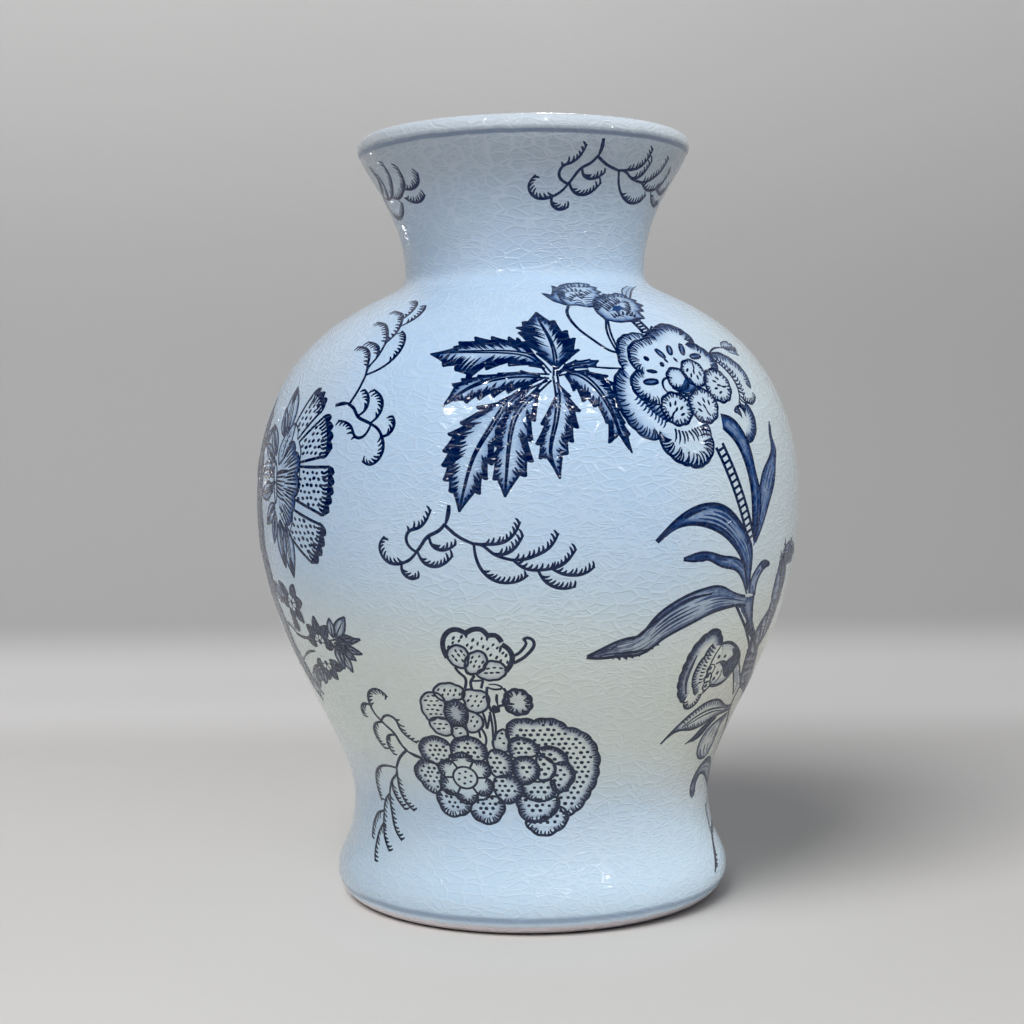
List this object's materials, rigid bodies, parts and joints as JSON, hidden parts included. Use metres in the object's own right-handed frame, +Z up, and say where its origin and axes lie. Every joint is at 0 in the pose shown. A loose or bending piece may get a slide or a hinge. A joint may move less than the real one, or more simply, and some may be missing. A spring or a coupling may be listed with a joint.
{
  "type": "porcelain vase",
  "caption": "Tall baluster vase with a flared neck, rolled lip, full shoulder, narrow waist and spreading foot, open at the top, in crackle-glazed porcelain with blue printed flowers.",
  "frame": {"origin": "centre of the foot ring, on the table plane", "axes": "+Z up along the axis of the vase; -Y is the side with the leaf and the peony; +X to the right seen from there"},
  "size_m": [0.2162, 0.2162, 0.3],
  "materials": {
    "biscuit": "unglazed fine porcelain",
    "slip": "unglazed fired slip",
    "glaze": "glossy crackled clear glaze over white, cool blue tint",
    "print": "navy underglaze print"
  },
  "bodies": {
    "root": {"neck_section": "biscuit", "upper_body": "biscuit", "lower_body": "biscuit", "foot_section": "biscuit", "base_plate": "biscuit", "neck_lute": "slip", "belly_lute": "slip", "waist_lute": "slip", "base_lute": "slip", "outer_glaze": "glaze", "inner_glaze": "glaze", "base_glaze": "glaze"}
  },
  "joints": []
}
